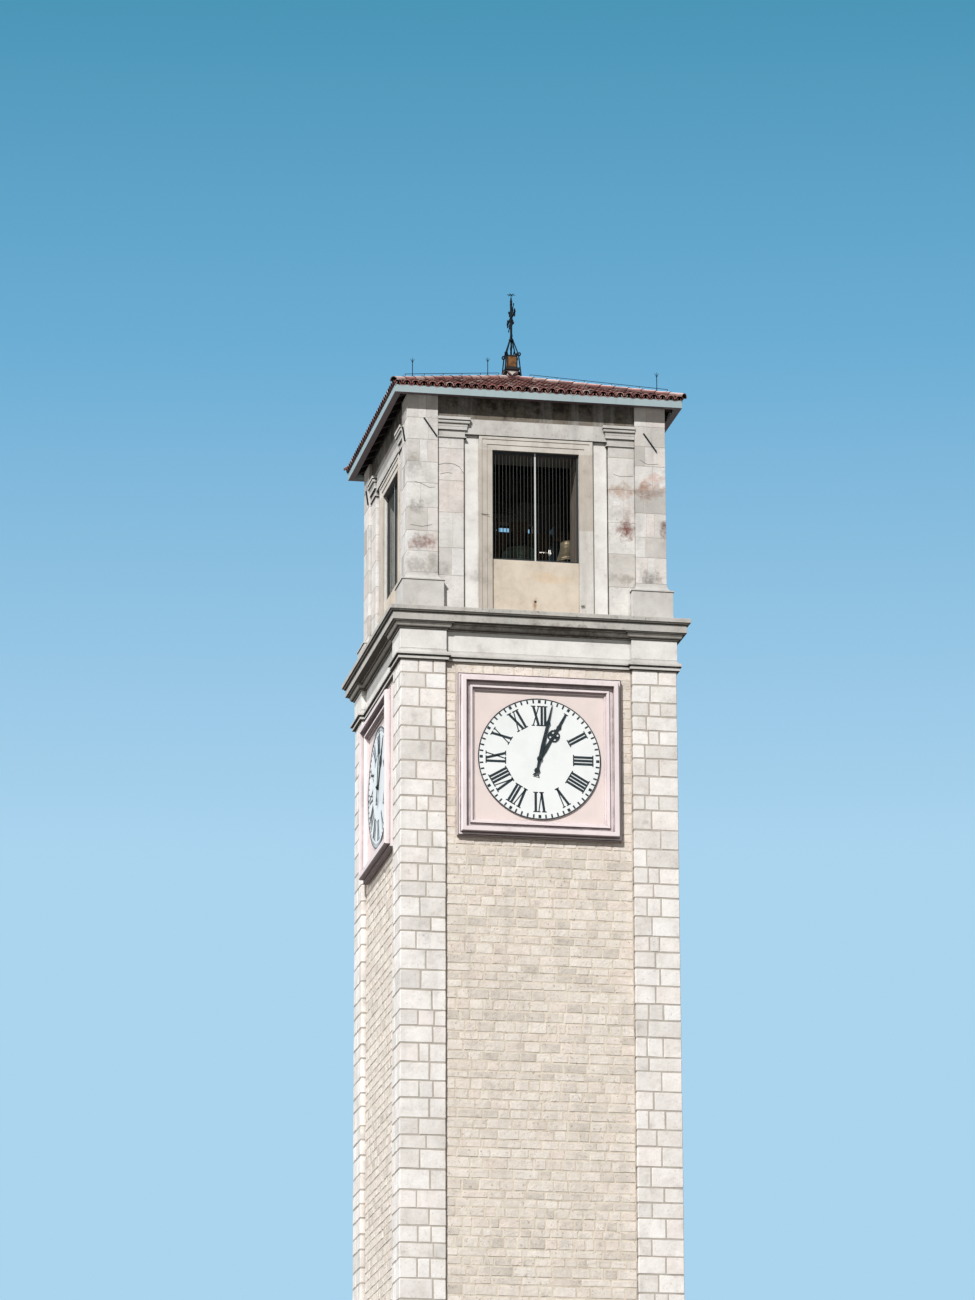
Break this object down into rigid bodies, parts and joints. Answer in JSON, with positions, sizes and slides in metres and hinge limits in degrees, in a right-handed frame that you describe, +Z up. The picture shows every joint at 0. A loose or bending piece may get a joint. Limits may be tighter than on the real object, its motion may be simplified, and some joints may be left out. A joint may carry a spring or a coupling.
{
  "type": "clock tower",
  "caption": "Square stone bell tower with a moulded clock on each side, an open belfry with swinging bells and a low tiled pyramid roof under an iron cross.",
  "frame": {"origin": "middle of the base's flat underside, at ground level", "axes": "+Z up, -Y out of the clock front that faces the camera, +X to the right of that front"},
  "size_m": [6.232, 6.232, 38.7402],
  "materials": {
    "base_stone": "rough dressed limestone",
    "quoin_stone": "squared pale limestone, weathered",
    "rubble": "yellowish small-block masonry",
    "dressed_stone": "dressed pale limestone",
    "weathered_stone": "grey weathered limestone",
    "warm_stone": "warm beige limestone",
    "parapet_render": "beige lime render",
    "mauve_render": "painted render moulding, mauve pink",
    "pink_render": "painted render, pale pink",
    "dial_enamel": "white enamelled sheet",
    "hand_iron": "dark painted metal",
    "door_wood": "old stained planks",
    "floor_wood": "bare old boards",
    "roof_wood": "dark weathered timber",
    "headstock_wood": "oiled oak",
    "white_metal": "pale painted steel",
    "frame_steel": "galvanised and painted steel",
    "iron": "dark wrought iron",
    "bronze": "dull brown bell bronze",
    "roof_tile": "matt fired clay",
    "gutter_metal": "pale blue-grey painted sheet",
    "lead_sheet": "grey sheet metal",
    "rusty_box": "orange-brown oxidised metal"
  },
  "bodies": {
    "tower": {"base_plinth": "base_stone", "shaft_corner_piers": "quoin_stone", "shaft_front_wall": "rubble", "shaft_right_wall": "rubble", "shaft_back_wall": "rubble", "shaft_left_wall": "rubble", "door_surround": "dressed_stone", "entrance_door": "door_wood", "architrave": "dressed_stone", "frieze": "dressed_stone", "cornice": "weathered_stone", "clock_surrounds": "mauve_render", "clock_panels": "pink_render", "clock_dials": "dial_enamel", "hand_spindles": "hand_iron", "belfry_floor": "floor_wood", "belfry_pier_bases": "weathered_stone", "belfry_corner_piers": "quoin_stone", "belfry_pilasters": "dressed_stone", "pilaster_capitals": "dressed_stone", "belfry_jambs": "rubble", "belfry_lintels": "weathered_stone", "window_surrounds": "warm_stone", "parapets": "parapet_render", "screen_frames": "white_metal", "tie_anchors": "iron", "bell_frame": "frame_steel", "wall_plate": "roof_wood", "rafters": "roof_wood", "hip_rafters": "roof_wood", "roof_boards": "roof_wood", "roof_tiles": "roof_tile", "hip_tiles": "roof_tile", "eaves_gutter": "gutter_metal", "finial_base": "lead_sheet", "finial_box": "rusty_box", "finial_legs": "iron", "roof_cross": "iron", "lightning_rods": "iron"},
    "front_minute_hand": {"front_minute_hand": "hand_iron"},
    "front_hour_hand": {"front_hour_hand": "hand_iron"},
    "right_minute_hand": {"right_minute_hand": "hand_iron"},
    "right_hour_hand": {"right_hour_hand": "hand_iron"},
    "back_minute_hand": {"back_minute_hand": "hand_iron"},
    "back_hour_hand": {"back_hour_hand": "hand_iron"},
    "left_minute_hand": {"left_minute_hand": "hand_iron"},
    "left_hour_hand": {"left_hour_hand": "hand_iron"},
    "large_bell": {"large_bell": "bronze", "large_bell_headstock": "headstock_wood"},
    "small_bell": {"small_bell": "bronze", "small_bell_headstock": "headstock_wood"}
  },
  "joints": [
    {"name": "front_minute_turn", "type": "hinge", "parent": "tower", "child": "front_minute_hand", "pos_m": [0, -2.813, 27.91], "axis": [0, 1, 0], "continuous": true},
    {"name": "front_hour_turn", "type": "hinge", "parent": "tower", "child": "front_hour_hand", "pos_m": [0, -2.793, 27.91], "axis": [0, 1, 0], "continuous": true},
    {"name": "right_minute_turn", "type": "hinge", "parent": "tower", "child": "right_minute_hand", "pos_m": [2.813, 0, 27.91], "axis": [-1, 0, 0], "continuous": true},
    {"name": "right_hour_turn", "type": "hinge", "parent": "tower", "child": "right_hour_hand", "pos_m": [2.793, 0, 27.91], "axis": [-1, 0, 0], "continuous": true},
    {"name": "back_minute_turn", "type": "hinge", "parent": "tower", "child": "back_minute_hand", "pos_m": [0, 2.813, 27.91], "axis": [0, -1, 0], "continuous": true},
    {"name": "back_hour_turn", "type": "hinge", "parent": "tower", "child": "back_hour_hand", "pos_m": [0, 2.793, 27.91], "axis": [0, -1, 0], "continuous": true},
    {"name": "left_minute_turn", "type": "hinge", "parent": "tower", "child": "left_minute_hand", "pos_m": [-2.813, 0, 27.91], "axis": [1, 0, 0], "continuous": true},
    {"name": "left_hour_turn", "type": "hinge", "parent": "tower", "child": "left_hour_hand", "pos_m": [-2.793, 0, 27.91], "axis": [1, 0, 0], "continuous": true},
    {"name": "large_bell_swing", "type": "hinge", "parent": "tower", "child": "large_bell", "pos_m": [0.1375, 0, 33.4], "axis": [1, 0, 0], "range_deg": [-45, 45]},
    {"name": "small_bell_swing", "type": "hinge", "parent": "tower", "child": "small_bell", "pos_m": [1.2, 0, 33.51], "axis": [1, 0, 0], "range_deg": [-45, 45]}
  ],
  "couplings": [
    {"joint": "front_hour_turn", "follows": "front_minute_turn", "ratio": 0.083333},
    {"joint": "right_minute_turn", "follows": "front_minute_turn", "ratio": 1},
    {"joint": "right_hour_turn", "follows": "front_minute_turn", "ratio": 0.083333},
    {"joint": "back_minute_turn", "follows": "front_minute_turn", "ratio": 1},
    {"joint": "back_hour_turn", "follows": "front_minute_turn", "ratio": 0.083333},
    {"joint": "left_minute_turn", "follows": "front_minute_turn", "ratio": 1},
    {"joint": "left_hour_turn", "follows": "front_minute_turn", "ratio": 0.083333}
  ]
}
